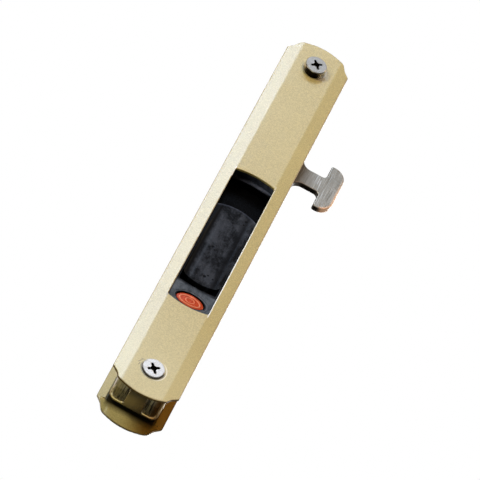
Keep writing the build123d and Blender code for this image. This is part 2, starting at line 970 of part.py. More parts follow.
PIECES = {
    "front_plate": front_plate,
    "rear_plate": rear_plate,
    "case_body": case_body,
    "case_cover": case_cover,
    "cover_screws": cover_screws,
    "lower_screw": lower_screw,
    "upper_screw": upper_screw,
    "lower_post": lambda: threaded_post(-screw_offset),
    "upper_post": lambda: threaded_post(screw_offset),
    "front_liner": front_liner,
    "rear_liner": lambda: mirrored(front_liner()),
    "front_slider": front_slider,
    "rear_slider": rear_slider,
    "release_button": release_button,
    "button_clip": button_clip,
    "button_spring": button_spring,
    "carriage": carriage,
    "hook": hook,
    "hook_rivets": hook_rivets,
    "drive_pin": drive_pin,
    "return_spring": return_spring,
    "spring_rod": spring_rod,
    "upper_buffer": upper_buffer,
    "lower_buffer": lower_buffer,
    "guide_rails": guide_rails,
}

os.makedirs("parts", exist_ok=True)
for name, make in PIECES.items():
    export_step(make(), f"parts/{name}.step")
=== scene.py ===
import json
import math
import bpy
from mathutils import Euler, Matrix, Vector


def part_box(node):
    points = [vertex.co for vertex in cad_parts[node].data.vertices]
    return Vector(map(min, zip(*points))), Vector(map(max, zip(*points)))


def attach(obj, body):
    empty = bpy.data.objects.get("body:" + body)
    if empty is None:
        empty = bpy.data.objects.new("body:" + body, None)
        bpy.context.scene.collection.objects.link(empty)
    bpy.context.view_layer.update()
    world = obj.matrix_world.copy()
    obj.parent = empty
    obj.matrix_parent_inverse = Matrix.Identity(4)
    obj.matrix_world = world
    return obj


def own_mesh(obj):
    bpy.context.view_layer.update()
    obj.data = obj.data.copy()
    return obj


# Sliding door lock, dressed around its fixed frame. Objects are in metres, in the frame's own axes.
# Material patterns are drawn in millimetres of the frame, and so are the places and sizes below, down
# to the surroundings.

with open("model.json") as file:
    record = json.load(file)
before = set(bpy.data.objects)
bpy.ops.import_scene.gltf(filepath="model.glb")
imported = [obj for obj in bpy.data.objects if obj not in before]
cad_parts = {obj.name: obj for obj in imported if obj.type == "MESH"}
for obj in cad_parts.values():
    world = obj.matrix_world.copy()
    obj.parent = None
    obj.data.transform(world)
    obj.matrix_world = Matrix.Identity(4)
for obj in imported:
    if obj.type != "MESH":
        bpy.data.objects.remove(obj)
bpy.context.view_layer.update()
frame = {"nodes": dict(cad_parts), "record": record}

MM = 0.001
WHITE = (1.0, 1.0, 1.0)


def srgb(red, green, blue):
    """Linear colour with full alpha from an 8-bit screen colour."""
    def linear(value):
        share = value / 255
        return share / 12.92 if share <= 0.04045 else ((share + 0.055) / 1.055) ** 2.4

    return (linear(red), linear(green), linear(blue), 1.0)


def box_mm(node):
    """Lowest and highest corner of a node at rest, in millimetres."""
    low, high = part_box(node)
    return low / MM, high / MM


# Camera, at the photograph's viewing angle
CAMERA_PLACE_MM = (-10.10, -1073.50, -1020.30)
CAMERA_TURN_DEGREES = (136.823, -19.990, -20.877)
CAMERA_LENS = 283.93
CAMERA_SENSOR = 36.0

# Both plates: outline, bevel and finger window
plate_high = box_mm("front_plate")[1]
PLATE_HALF = plate_high.x
PLATE_END = plate_high.z
REAR_FACE = box_mm("rear_plate")[0].y
BEVEL_START = 8.75
BEVEL_DROP = 1.0
END_ARC = 22.0
WINDOW_HALF = 8.75
WINDOW_TOP = 22.75
WINDOW_BOTTOM = -55.5

# Face screws, the lower one driven home and the upper one backed out
driven_low, driven_high = box_mm("lower_screw")
SCREW_OFFSET = -(driven_low.z + driven_high.z) / 2
HEAD_RADIUS = driven_high.x
HEAD_TOP = driven_low.y
LOOSE_SCREW_LIFT = HEAD_TOP - box_mm("upper_screw")[0].y
SEAT_RADIUS = HEAD_RADIUS + 0.25
RECESS_RADIUS = 2.62

# Case end with its two pockets, whose mouths lie a little behind the end's rim
RIM_DEPTH = 0.4
CASE_HALF = 9.6
POCKET_MOUTH = box_mm("case_body")[1].z - RIM_DEPTH
POCKET_END = 91.5
POCKET_INNER = 3.9
POCKET_OUTER = 9.0
POCKET_FLOOR = 18.1

# Liner's ledge, and the slider with its pad and button well
LEDGE_LOW = 20.85
slider_high = box_mm("front_slider")[1]
SLIDER_TOP = slider_high.z
SLIDER_BACK = slider_high.y
SLIDER_ARC = 18.0
PAD_TOP = -44.4
WELL_HALF_X = 6.05
WELL_HALF_Z = 3.25
FLANK_START = 4.2
FLANK_END = 6.4

# Hook
hook_low, hook_high = box_mm("hook")
HOOK_HEIGHT = (hook_low.z + hook_high.z) / 2
HOOK_HALF = (hook_high.z - hook_low.z) / 2
HOOK_END = hook_high.x
HOOK_NOSE = 5.5
ROOT_BROWN_START = 13.0
ROOT_BROWN_END = 22.0

# Release button's crowned face, and its raised ovals: name, half sizes, ridge width and height
BUTTON_CROWN = 40.0
BUTTON_TOP = -0.873
BUTTON_PLACE = -51.4
OVALS = (
    ("outer_oval", 4.35, 2.05, 0.70, 0.20),
    ("inner_oval", 1.80, 1.15, 0.55, 0.20),
)
OVAL_STEPS = 96
RIDGE_STEPS = 6
RIDGE_SINK = 0.06

# Plate paint: light and dark tone, then its marks: painted glints, shadows, shade and sheen, and paint chips
PLATE_TONES = (srgb(208, 189, 116), srgb(168, 149, 82))
PLATE_METALLIC = 0.05
PAINT_SPECULAR = 0.5
PLATE_COAT = 1.0
PLATE_COAT_ROUGHNESS = 0.34
# Painted glint and painted shadow at the screw seats: strength at each screw, then glint and shadow colour
DRIVEN_SEAT_LIGHTING = 0.9
LOOSE_SEAT_LIGHTING = 0.45
GLINT_CREAM = srgb(250, 240, 210)
SEAT_SHADE = srgb(34, 26, 14)
# Painted shade on the rear plate's inner side
INNER_SHADE_BROWN = srgb(154, 118, 40)
LOW_END_SHEEN = srgb(226, 219, 166)
EDGE_HIGHLIGHT_IVORY = srgb(252, 248, 232)
OLIVE_EDGE_SHADE = srgb(132, 112, 56)
BROWN_EDGE_SHADE = srgb(128, 88, 36)
END_EDGE_SHADE = srgb(104, 78, 38)
CHIP_BROWN = srgb(84, 62, 34)
CHIP_WIDTH = 0.30

# Chips in the paint: place in x and z, turn in degrees, length
CHIPS = (
    (-5.8, -90.6, 55.0, 2.2),
    (-5.1, -89.4, 10.0, 1.6),
    (-5.7, -92.2, 80.0, 1.4),
)

# Painted shadow in the corner between the case and the rear plate
CONTACT_SHADOW = srgb(16, 12, 6)
CONTACT_SHADOW_REACH = 4.0
CONTACT_SHADOW_SQUEEZE = 3.0

# Paint on the casting, with painted shade on its end and painted highlights on its pocket lips, and the bare
# metal in its pockets, lit by painted light on their outer walls
CASE_TONES = (srgb(172, 150, 104), srgb(134, 112, 72))
CASE_METALLIC = 0.65
CASE_COAT = 0.5
CASE_COAT_ROUGHNESS = 0.12
CASE_SHADE = srgb(48, 38, 22)
END_LIT_OLIVE = srgb(150, 138, 98)
LIP_HIGHLIGHT_GOLD = srgb(206, 186, 116)
LIP_HIGHLIGHT_BROWN = srgb(178, 122, 48)
BARE_DARK = srgb(44, 38, 22)
BARE_PALE = srgb(190, 182, 144)
POCKET_WALL_LIT_GOLD = srgb(212, 200, 150)
POCKET_WALL_SHADED_BROWN = srgb(128, 96, 48)

# Black plastics, with painted sheen, shade and highlights among their marks
LINER_BLACK = srgb(3, 3, 3)
LEDGE_SHEEN = srgb(96, 102, 114)
NYLON_BLACK = srgb(7, 8, 9)
SMEAR_GREY = srgb(60, 63, 67)
STREAK_GREY = srgb(20, 20, 21)
FINE_GREY = srgb(96, 98, 104)
PAD_DARK = srgb(66, 72, 76)
PAD_PALE = srgb(108, 114, 118)
FLANK_SHADE = srgb(6, 6, 7)
PALE_EDGE_LINE = srgb(84, 91, 98)
CREST_HIGHLIGHT = srgb(82, 88, 100)
SPECK_GREY = srgb(120, 124, 130)
HALO_HIGHLIGHT = srgb(128, 130, 136)
GAP_BLACK = srgb(3, 3, 3)
PIT_BLACK = srgb(4, 4, 5)

# Pits in the slider's face, each in a rubbed patch: place in x and z, radius
PITS = (
    (-2.0, -19.8, 0.75),
    (-0.8, -21.0, 0.40),
    (0.5, -34.9, 0.80),
    (1.6, -33.8, 0.45),
    (3.9, -34.4, 0.50),
    (4.9, -1.0, 0.70),
    (4.6, -3.0, 0.45),
)
RUB_SHARE = 0.05
RUB_REACH = 11

# Button plastic, and a paler copy as painted highlight on its raised ovals
BUTTON_TONES = (srgb(202, 74, 30), srgb(176, 54, 20))
RELIEF_HIGHLIGHT_TONES = (srgb(238, 148, 108), srgb(226, 120, 78))
RUBBED_ORANGE = srgb(226, 130, 92)

# Bare metals: light and dark tone of each, then their marks, among them painted shade, glints and reflections
HOOK_TONES = (srgb(148, 142, 130), srgb(103, 97, 86))
SCREW_TONES = (srgb(194, 189, 181), srgb(178, 173, 165))
PLAIN_TONES = (srgb(190, 190, 188), srgb(158, 158, 156))
SPRING_TONES = (srgb(160, 160, 160), srgb(120, 120, 122))
BRASS_TONES = (srgb(206, 176, 104), srgb(172, 140, 72))
CAST_TONES = (srgb(164, 163, 160), srgb(120, 120, 120))
SCRATCH_WHITE = srgb(236, 234, 230)
ROOT_BROWN = srgb(68, 53, 38)
HOOK_SIDE_SHADE = srgb(34, 26, 18)
RIM_PEACH_REFLECTION = srgb(222, 172, 130)
RECESS_DIRT_AND_SHADE = srgb(10, 9, 8)
HEAD_SIDE_SHADE = srgb(40, 36, 26)
HEAD_GLINT = srgb(214, 210, 190)
LOOSE_HEAD_DARK_REFLECTION = srgb(84, 78, 66)

# Hidden pieces of nylon and rubber: light and dark tone
NATURAL_TONES = (srgb(238, 235, 224), srgb(226, 222, 208))
RUBBER_TONES = (srgb(44, 44, 46), srgb(26, 26, 27))

# Surroundings, in metres; lamps: name, place, size, watts and tint
FLOOR_HEIGHT = -1.95
FLOOR_SIZE = 60.0
FLOOR_GREY = (0.8, 0.8, 0.8, 1.0)
FLOOR_GLOW = 0.92
ROOM_STRENGTH = 0.06
LAMPS = (
    ("sky_key", (-0.34, -0.88, 0.89), 0.4, 7.7, (0.55, 0.71, 1.0)),
    ("low_right", (0.42, -1.20, 0.20), 0.6, 3.0, (1.0, 0.49, 0.25)),
    ("left", (-0.85, -0.98, 0.10), 0.3, 10.6, WHITE),
    ("warm_side", (1.0, -0.10, 0.85), 0.4, 3.7, (1.0, 0.76, 0.46)),
    ("rear_fill", (0.35, 1.30, 0.90), 0.9, 22.0, WHITE),
)
FLAG_PLACE = (0.0, 0.80, -0.75)
FLAG_SIZE = 1.1
FLAG_BLACK = (0.01, 0.009, 0.008, 1.0)

# Where a noise's values mostly lie
NOISE_LOW = 0.3
NOISE_HIGH = 0.7

# Shader inputs by their short names
SOCKETS = {
    "metallic": "Metallic",
    "roughness": "Roughness",
    "specular": "Specular IOR Level",
    "coat": "Coat Weight",
    "coat_roughness": "Coat Roughness",
}


class Finish:
    """A material's node tree, with patterns drawn in millimetres of the frame."""

    def __init__(self, name, **shader_values):
        self.material = bpy.data.materials.new(name)
        self.material.use_nodes = True
        self.tree = self.material.node_tree
        self.shader = self.tree.nodes["Principled BSDF"]
        for socket, value in shader_values.items():
            self.drive(socket, value)
        place = self.tree.nodes.new("ShaderNodeTexCoord").outputs["Object"]
        self.mm = self.vector("MULTIPLY", place, (1 / MM,) * 3)
        axes = self.tree.nodes.new("ShaderNodeSeparateXYZ")
        self.link(self.mm, axes.inputs[0])
        self.x, self.y, self.z = axes.outputs[:3]
        self.base = None

    def link(self, source, target):
        """Feeds a socket from an output or a plain value."""
        if isinstance(source, bpy.types.NodeSocket):
            self.tree.links.new(source, target)
        else:
            target.default_value = source

    def drive(self, socket, value):
        """Feeds one of the shader's own sockets."""
        self.link(value, self.shader.inputs[SOCKETS[socket]])

    def vector(self, operation, first, second):
        """Vector sum or product."""
        node = self.tree.nodes.new("ShaderNodeVectorMath")
        node.operation = operation
        self.link(first, node.inputs[0])
        self.link(second, node.inputs[1])
        return node.outputs[0]

    def maths(self, operation, first, second=0.0):
        """Sum, product or another operation on two values."""
        node = self.tree.nodes.new("ShaderNodeMath")
        node.operation = operation
        self.link(first, node.inputs[0])
        self.link(second, node.inputs[1])
        return node.outputs[0]

    def product(self, *values):
        """Product of several values."""
        result = values[0]
        for value in values[1:]:
            result = self.maths("MULTIPLY", result, value)
        return result

    def largest(self, *values):
        """Largest of several values."""
        result = values[0]
        for value in values[1:]:
            result = self.maths("MAXIMUM", result, value)
        return result

    def length(self, first, second):
        """Length of a line from its two sides."""
        squares = self.maths("ADD", self.maths("POWER", first, 2.0), self.maths("POWER", second, 2.0))
        return self.maths("SQRT", squares)

    def beyond(self, value, limit):
        """How far a value's size goes past a limit, or nought."""
        size = self.maths("ABSOLUTE", value)
        return self.maths("MAXIMUM", self.maths("SUBTRACT", size, limit), 0.0)

    def noise(self, per_mm, detail=2.0, roughness=0.5, stretch=(1, 1, 1), seed=0.0):
        """Cloudy noise from 0 to 1, with so many grains to the millimetre."""
        node = self.tree.nodes.new("ShaderNodeTexNoise")
        stretched = self.vector("MULTIPLY", self.mm, stretch)
        self.link(self.vector("ADD", stretched, (seed, seed, seed)), node.inputs["Vector"])
        node.inputs["Scale"].default_value = per_mm
        node.inputs["Detail"].default_value = detail
        node.inputs["Roughness"].default_value = roughness
        return node.outputs[0]

    def cells(self, per_mm, seed=0.0):
        """Distance to the nearest of scattered points."""
        node = self.tree.nodes.new("ShaderNodeTexVoronoi")
        self.link(self.vector("ADD", self.mm, (seed, seed, seed)), node.inputs["Vector"])
        node.inputs["Scale"].default_value = per_mm
        return node.outputs["Distance"]

    def ramp(self, value, low, high, from_value=0.0, to_value=1.0):
        """Maps a span of a value onto another span, held at its ends."""
        node = self.tree.nodes.new("ShaderNodeMapRange")
        self.link(value, node.inputs["Value"])
        self.link(low, node.inputs["From Min"])
        self.link(high, node.inputs["From Max"])
        node.inputs["To Min"].default_value = from_value
        node.inputs["To Max"].default_value = to_value
        return node.outputs[0]

    def spread(self, pattern, from_value=0.0, to_value=1.0):
        """Spreads a noise's usual span onto another span."""
        return self.ramp(pattern, NOISE_LOW, NOISE_HIGH, from_value, to_value)

    def band(self, value, low, high, soft):
        """One between two limits and nought outside them, with soft ends."""
        rise = self.ramp(value, low - soft, low + soft)
        fall = self.ramp(value, high - soft, high + soft, 1.0, 0.0)
        return self.product(rise, fall)

    def mix(self, share, first, second):
        """Colour between two colours."""
        node = self.tree.nodes.new("ShaderNodeMix")
        node.data_type = "RGBA"
        self.link(share, node.inputs["Factor"])
        self.link(first, node.inputs[6])
        self.link(second, node.inputs[7])
        return node.outputs[2]

    def cloud(self, tones, pattern):
        """Starts the base colour between its light and dark tone, as a noise says."""
        light, dark = tones
        self.base = self.mix(self.spread(pattern), dark, light)

    def lay(self, tone, *shares):
        """Lays a tone over the base colour, as strongly as its shares multiplied."""
        self.base = self.mix(self.product(*shares), self.base, tone)

    def radius_from(self, x, z):
        """Distance from a line along Y."""
        return self.length(self.maths("SUBTRACT", self.x, x), self.maths("SUBTRACT", self.z, z))

    def oval_share(self, z, half_x, half_z):
        """Distance from an oval's middle, one on the oval itself."""
        share_x = self.maths("DIVIDE", self.x, half_x)
        share_z = self.maths("DIVIDE", self.maths("SUBTRACT", self.z, z), half_z)
        return self.length(share_x, share_z)

    def stroke(self, x, z, turn_degrees, length, width):
        """Short soft stroke in the XZ plane, seen only on the front."""
        turn = math.radians(turn_degrees)
        away_x = self.maths("SUBTRACT", self.x, x)
        away_z = self.maths("SUBTRACT", self.z, z)
        along = self.maths("ADD", self.product(away_x, math.cos(turn)), self.product(away_z, math.sin(turn)))
        across = self.maths("SUBTRACT", self.product(away_z, math.cos(turn)),
                            self.product(away_x, math.sin(turn)))
        long_part = self.band(along, -length / 2, length / 2, width)
        thin_part = self.band(across, -width / 2, width / 2, width / 2)
        front = self.ramp(self.y, -0.5, 0.0, 1.0, 0.0)
        return self.product(long_part, thin_part, front)

    def normal_share(self, axis):
        """How far the surface faces along one axis, from 0 to 1."""
        normal = self.tree.nodes.new("ShaderNodeTexCoord").outputs["Normal"]
        parts = self.tree.nodes.new("ShaderNodeSeparateXYZ")
        self.link(normal, parts.inputs[0])
        return self.maths("ABSOLUTE", parts.outputs[axis])

    def relief(self, height, depth_mm):
        """Bump of so many millimetres, over what is there already."""
        node = self.tree.nodes.new("ShaderNodeBump")
        node.inputs["Distance"].default_value = depth_mm * MM
        self.link(height, node.inputs["Height"])
        normal = self.shader.inputs["Normal"]
        if normal.is_linked:
            self.tree.links.new(normal.links[0].from_socket, node.inputs["Normal"])
        self.tree.links.new(node.outputs[0], normal)

    def done(self):
        """Material with its base colour in place."""
        self.link(self.base, self.shader.inputs["Base Color"])
        return self.material


def champagne_paint(name, tones, metallic, coat, coat_roughness):
    """Satin metallic paint: flakes of two sizes, cloudy tone and a slight orange peel."""
    paint = Finish(name, metallic=metallic, specular=PAINT_SPECULAR, coat=coat, coat_roughness=coat_roughness)
    flakes = paint.noise(4.5, detail=2.0, roughness=0.7)
    grain = paint.noise(2.4, detail=2.0, roughness=0.6, seed=31.0)
    clouds = paint.noise(0.05, detail=1.0, seed=7.0)
    light, dark = tones
    paint.base = paint.mix(paint.ramp(grain, 0.34, 0.66), dark, light)
    paint.lay(dark, paint.spread(flakes, 0.0, 0.45))
    paint.lay(light, paint.ramp(clouds, 0.35, 0.65, 0.0, 0.15))
    paint.drive("roughness", paint.spread(flakes, 0.38, 0.52))
    paint.relief(flakes, 0.010)
    paint.relief(grain, 0.020)
    return paint


def add_seat_glints_and_shadows(paint, front):
    """Painted glint beside each screw seat and a painted shadow line round its lower half, weaker at the
    loose screw.
    """
    for side, strength in ((-1, DRIVEN_SEAT_LIGHTING), (1, LOOSE_SEAT_LIGHTING)):
        seat = paint.radius_from(0.0, side * SCREW_OFFSET)
        drop = paint.maths("SUBTRACT", paint.z, side * SCREW_OFFSET)
        lower = paint.ramp(paint.maths("DIVIDE", drop, seat), 0.30, -0.10)
        rightward = paint.ramp(paint.maths("DIVIDE", paint.x, seat), 0.35, 0.8)
        glint = paint.band(seat, SEAT_RADIUS + 0.35, SEAT_RADIUS + 0.75, 0.15)
        paint.lay(GLINT_CREAM, glint, rightward, front, strength)
        line = paint.band(seat, SEAT_RADIUS - 0.3, SEAT_RADIUS + 0.40, 0.12)
        paint.lay(SEAT_SHADE, line, lower, front, strength)


def add_inner_face(paint):
    """Painted shade on the rear plate's inner side, browner towards its right, with a painted contact shadow
    along the case. Gives where the gloss is gone.
    """
    bevel = paint.ramp(paint.maths("ABSOLUTE", paint.x), BEVEL_START, PLATE_HALF, 0.0, BEVEL_DROP)
    inner_side = REAR_FACE + BEVEL_DROP
    on_rear = paint.ramp(paint.y, REAR_FACE - 0.3, REAR_FACE - 0.1)
    faces_in = paint.ramp(paint.maths("ADD", paint.y, bevel), inner_side + 0.4, inner_side + 0.6, 1.0, 0.0)
    inward = paint.product(on_rear, faces_in)
    brown = paint.product(paint.ramp(paint.x, -3.0, 8.0, 0.05, 0.92), inward)
    paint.lay(INNER_SHADE_BROWN, brown)
    # Painted contact shadow on the rear plate around the case's end
    reach_x = paint.product(paint.beyond(paint.x, CASE_HALF), CONTACT_SHADOW_SQUEEZE)
    away = paint.length(reach_x, paint.beyond(paint.z, POCKET_MOUTH))
    contact_shadow_share = paint.product(paint.ramp(away, 0.6, CONTACT_SHADOW_REACH, 0.97, 0.0), inward)
    paint.lay(CONTACT_SHADOW, contact_shadow_share)
    return paint.largest(brown, contact_shadow_share)


def add_window_edges(paint, front):
    """Painted highlight along the window's right edge, painted shade along its left edge and a painted glint
    near its top left corner.
    """
    beside = paint.product(paint.band(paint.z, WINDOW_BOTTOM, WINDOW_TOP, 0.5), front)
    right_edge = paint.band(paint.x, WINDOW_HALF - 0.1, WINDOW_HALF + 0.36, 0.1)
    paint.lay(EDGE_HIGHLIGHT_IVORY, right_edge, beside, paint.ramp(paint.z, 12.0, -25.0, 0.3, 1.0))
    left_edge = paint.band(paint.x, -WINDOW_HALF - 0.32, -WINDOW_HALF + 0.1, 0.12)
    paint.lay(OLIVE_EDGE_SHADE, left_edge, beside)
    corner = paint.band(paint.z, WINDOW_TOP - 6.0, WINDOW_TOP - 0.5, 0.4)
    paint.lay(GLINT_CREAM, left_edge, corner, front)


def add_side_rims(paint):
    """Painted shade: thin darker lines along the plates' long sides."""
    paint.lay(BROWN_EDGE_SHADE, paint.ramp(paint.x, PLATE_HALF - 0.55, PLATE_HALF - 0.2, 0.0, 0.7))
    paint.lay(OLIVE_EDGE_SHADE, paint.ramp(paint.x, -PLATE_HALF + 0.45, -PLATE_HALF + 0.15, 0.0, 0.5))


def add_end_rims(paint):
    """Painted shade: thin darker lines along the plates' end arcs."""
    for side in (-1, 1):
        arc = paint.radius_from(0.0, side * (PLATE_END - END_ARC))
        at_end = paint.ramp(paint.product(paint.z, side), PLATE_END - 3.5, PLATE_END - 3.0)
        paint.lay(OLIVE_EDGE_SHADE, paint.ramp(arc, END_ARC - 0.5, END_ARC - 0.15, 0.0, 0.6), at_end)


def shaded_edges(paint):
    """Share of painted shade on the edge faces near the plates' ends, weaker on the rear plate."""
    edges = paint.ramp(paint.normal_share(1), 0.3, 0.55, 1.0, 0.0)
    ends = paint.ramp(paint.maths("ABSOLUTE", paint.z), PLATE_END - 13.0, PLATE_END - 12.0)
    return paint.product(edges, ends, paint.ramp(paint.y, 5.0, 6.0, 1.0, 0.35))


def plate_gold():
    """Champagne paint with painted glints and shadows at its seats, painted highlights and shade at the
    window and along its edges, painted shade on the rear plate's inner side, a painted sheen low on the
    front, and chips beside the driven screw.
    """
    paint = champagne_paint("champagne_paint", PLATE_TONES, PLATE_METALLIC, PLATE_COAT, PLATE_COAT_ROUGHNESS)
    front = paint.ramp(paint.y, -0.9, -0.6, 1.0, 0.0)
    add_seat_glints_and_shadows(paint, front)
    shaded_inner = add_inner_face(paint)
    add_window_edges(paint, front)
    add_side_rims(paint)
    # Painted sheen: the front plate paler towards its lower end
    paint.lay(LOW_END_SHEEN, paint.ramp(paint.z, -58.0, -92.0, 0.0, 0.25), front)
    add_end_rims(paint)
    # Painted shade on the edge faces near the plates' ends
    edges = shaded_edges(paint)
    paint.lay(END_EDGE_SHADE, edges, 0.85)
    for x, z, turn, length in CHIPS:
        paint.lay(CHIP_BROWN, paint.stroke(x, z, turn, length, CHIP_WIDTH), 0.75)
    dull = paint.largest(shaded_inner, edges)
    paint.drive("coat", paint.ramp(dull, 0.0, 0.9, PLATE_COAT, 0.0))
    paint.drive("specular", paint.ramp(dull, 0.0, 0.9, PAINT_SPECULAR, 0.05))
    return paint.done()


def bare_share(paint, across, along):
    """Bare metal in the end pockets, with a ragged border where the paint stops."""
    wander = paint.noise(0.9, detail=3.0, roughness=0.6, seed=3.0)
    ragged = paint.ramp(wander, 0.0, 1.0, -0.8, 0.8)
    inside = paint.band(paint.maths("ADD", across, ragged), POCKET_INNER, POCKET_OUTER + 0.6, 0.25)
    deep = paint.ramp(paint.maths("ADD", along, ragged), POCKET_MOUTH, POCKET_MOUTH - 0.8)
    in_pocket = paint.ramp(along, POCKET_END - 0.4, POCKET_END)
    before_floor = paint.ramp(paint.y, POCKET_FLOOR - 0.6, POCKET_FLOOR - 0.2, 1.0, 0.0)
    return paint.product(inside, deep, in_pocket, before_floor)


def lip_highlight_share(paint, across, along):
    """Share of painted highlight on the outer and rear lips of the end pockets, at their mouths."""
    outer_lip = paint.product(paint.band(across, POCKET_OUTER, POCKET_OUTER + 0.95, 0.12),
                              paint.ramp(paint.y, POCKET_FLOOR - 0.4, POCKET_FLOOR - 0.1, 1.0, 0.0))
    rear_lip = paint.product(paint.band(paint.y, POCKET_FLOOR - 1.0, POCKET_FLOOR - 0.2, 0.12),
                             paint.band(across, POCKET_INNER + 0.3, POCKET_OUTER + 0.5, 0.2))
    at_mouth = paint.ramp(along, POCKET_MOUTH - 0.5, POCKET_MOUTH - 0.3)
    return paint.product(paint.largest(outer_lip, rear_lip), at_mouth)


def case_gold():
    """Darker gloss paint over the casting, with painted shade on its end and along its foot, painted
    highlights on the pocket lips, and rough bare metal in the end pockets, lit by painted light towards their
    outer walls.
    """
    paint = champagne_paint("champagne_paint_on_casting", CASE_TONES, CASE_METALLIC, CASE_COAT,
                            CASE_COAT_ROUGHNESS)
    across = paint.maths("ABSOLUTE", paint.x)
    along = paint.maths("ABSOLUTE", paint.z)
    # Painted shade on the case's end: lit olive near the front plate and the left, darker towards the rear
    # plate and the right
    low = paint.ramp(paint.y, 10.0, POCKET_FLOOR, 0.0, 0.35)
    low = paint.maths("ADD", low, paint.ramp(paint.x, -4.0, 5.0, -0.2, 0.35))
    end_shade_tone = paint.mix(low, END_LIT_OLIVE, CASE_SHADE)
    paint.lay(end_shade_tone, paint.ramp(along, POCKET_MOUTH, POCKET_MOUTH + 0.3))
    bare = bare_share(paint, across, along)
    streaks = paint.noise(1.3, detail=3.0, roughness=0.7, stretch=(1.4, 0.08, 0.15), seed=13.0)
    # Bare streaky metal, with painted light towards the outer walls: lit gold on the left, shaded and darker
    # on the right
    outward = paint.ramp(paint.maths("ADD", across, paint.product(streaks, 2.0)), 7.2, 9.2)
    metal = paint.mix(paint.ramp(streaks, 0.40, 0.58), BARE_DARK, BARE_PALE)
    wall = paint.mix(paint.ramp(paint.x, -2.0, 2.0), POCKET_WALL_LIT_GOLD, POCKET_WALL_SHADED_BROWN)
    paint.lay(paint.mix(outward, metal, wall), bare)
    # Painted highlight on the pocket lips, browner towards the right
    lip_highlight_tone = paint.mix(paint.ramp(paint.x, 3.0, 8.5, 0.0, 0.85), LIP_HIGHLIGHT_GOLD, LIP_HIGHLIGHT_BROWN)
    paint.lay(lip_highlight_tone, lip_highlight_share(paint, across, along), 0.9)
    # Painted shadow on the rounded foot of the case
    paint.lay(CONTACT_SHADOW, paint.ramp(paint.y, POCKET_FLOOR - 0.1, POCKET_FLOOR + 0.8, 0.0, 0.95))
    right_end = paint.product(paint.ramp(along, POCKET_END - 1.0, POCKET_END), paint.ramp(paint.x, 7.5, 8.5))
    paint.drive("coat", paint.ramp(right_end, 0.0, 1.0, CASE_COAT, 0.0))
    paint.drive("roughness", paint.ramp(paint.largest(bare, right_end), 0.0, 1.0, 0.26, 0.5))
    paint.relief(paint.product(streaks, bare), 0.12)
    return paint.done()


def black_liner():
    """Glossy black moulding, with a painted pale bluish sheen along the ledge, stronger to the right."""
    black = Finish("black_moulding", specular=0.02)
    haze = black.noise(0.35, detail=3.0)
    black.base = LINER_BLACK
    # Painted sheen on the ledge
    on_ledge = black.ramp(black.z, LEDGE_LOW - 0.5, LEDGE_LOW + 0.3)
    rightward = black.ramp(black.x, -4.0, 8.0, 0.15, 1.0)
    front = black.ramp(black.y, 2.0, 2.4, 1.0, 0.0)
    black.lay(LEDGE_SHEEN, on_ledge, rightward, front, black.ramp(haze, 0.35, 0.6, 0.5, 1.0))
    black.drive("roughness", black.spread(haze, 0.22, 0.36))
    black.relief(black.noise(2.5, detail=2.0), 0.004)
    return black.done()


def smear_pattern(nylon):
    """Cloudy smears, stronger in a patch round each pit."""
    smears = nylon.noise(0.19, detail=6.0, roughness=0.66, stretch=(1.2, 1.0, 0.8), seed=2.0)
    for x, z, size in PITS:
        rubbed = nylon.ramp(nylon.radius_from(x, z), size, size * RUB_REACH, RUB_SHARE, 0.0)
        smears = nylon.maths("ADD", smears, rubbed)
    return smears


def pit_pattern(nylon):
    """Scattered small pits and the larger ones in their own places."""
    pits = nylon.ramp(nylon.cells(0.16, seed=3.0), 0.035, 0.075, 1.0, 0.0)
    for x, z, size in PITS:
        pits = nylon.largest(pits, nylon.ramp(nylon.radius_from(x, z), size * 0.6, size, 1.0, 0.0))
    return pits


def add_pad(nylon):
    """Paler patchy pad below the grip."""
    on_pad = nylon.ramp(nylon.z, PAD_TOP - 1.0, PAD_TOP, 0.75, 0.0)
    patches = nylon.ramp(nylon.noise(0.35, detail=4.0, roughness=0.6, seed=52.0), 0.38, 0.62)
    nylon.lay(nylon.mix(patches, PAD_DARK, PAD_PALE), on_pad)


def add_flanks(nylon):
    """Painted shade on the flanks of the grip, with a paler edge line low on the left."""
    above_pad = nylon.ramp(nylon.z, PAD_TOP, PAD_TOP + 1.0)
    right_flank = nylon.product(nylon.band(nylon.x, FLANK_START, FLANK_END, 0.9), 0.85)
    left_flank = nylon.ramp(nylon.x, -FLANK_START - 0.8, -FLANK_END, 0.0, 0.95)
    nylon.lay(FLANK_SHADE, nylon.largest(right_flank, left_flank), above_pad)
    left_edge = nylon.band(nylon.x, -FLANK_START - 0.7, -FLANK_START + 0.2, 0.4)
    low = nylon.ramp(nylon.z, -4.0, -24.0, 0.0, 0.35)
    nylon.lay(PALE_EDGE_LINE, left_edge, low, nylon.ramp(nylon.z, PAD_TOP + 5.0, PAD_TOP + 7.0))


def add_crest(nylon):
    """Painted highlight: a paler line along the arc at the slider's top."""
    arc = nylon.radius_from(0.0, SLIDER_TOP - SLIDER_ARC)
    near_top = nylon.ramp(nylon.z, SLIDER_TOP - 4.0, SLIDER_TOP - 3.5)
    nylon.lay(CREST_HIGHLIGHT, nylon.ramp(arc, SLIDER_ARC - 0.9, SLIDER_ARC - 0.2, 0.0, 0.35), near_top)


def add_well(nylon):
    """Black gap round the button, and a painted highlight on a halo at its right, on the front slider alone.
    """
    around = nylon.oval_share(BUTTON_PLACE, WELL_HALF_X, WELL_HALF_Z)
    front = nylon.ramp(nylon.y, SLIDER_BACK, SLIDER_BACK + 1.0, 1.0, 0.0)
    halo = nylon.band(around, 1.14, 1.22, 0.02)
    nylon.lay(HALO_HIGHLIGHT, halo, nylon.ramp(nylon.x, -3.0, 5.0), front, 0.55)
    nylon.lay(GAP_BLACK, nylon.band(around, 0.94, 1.07, 0.02), front)


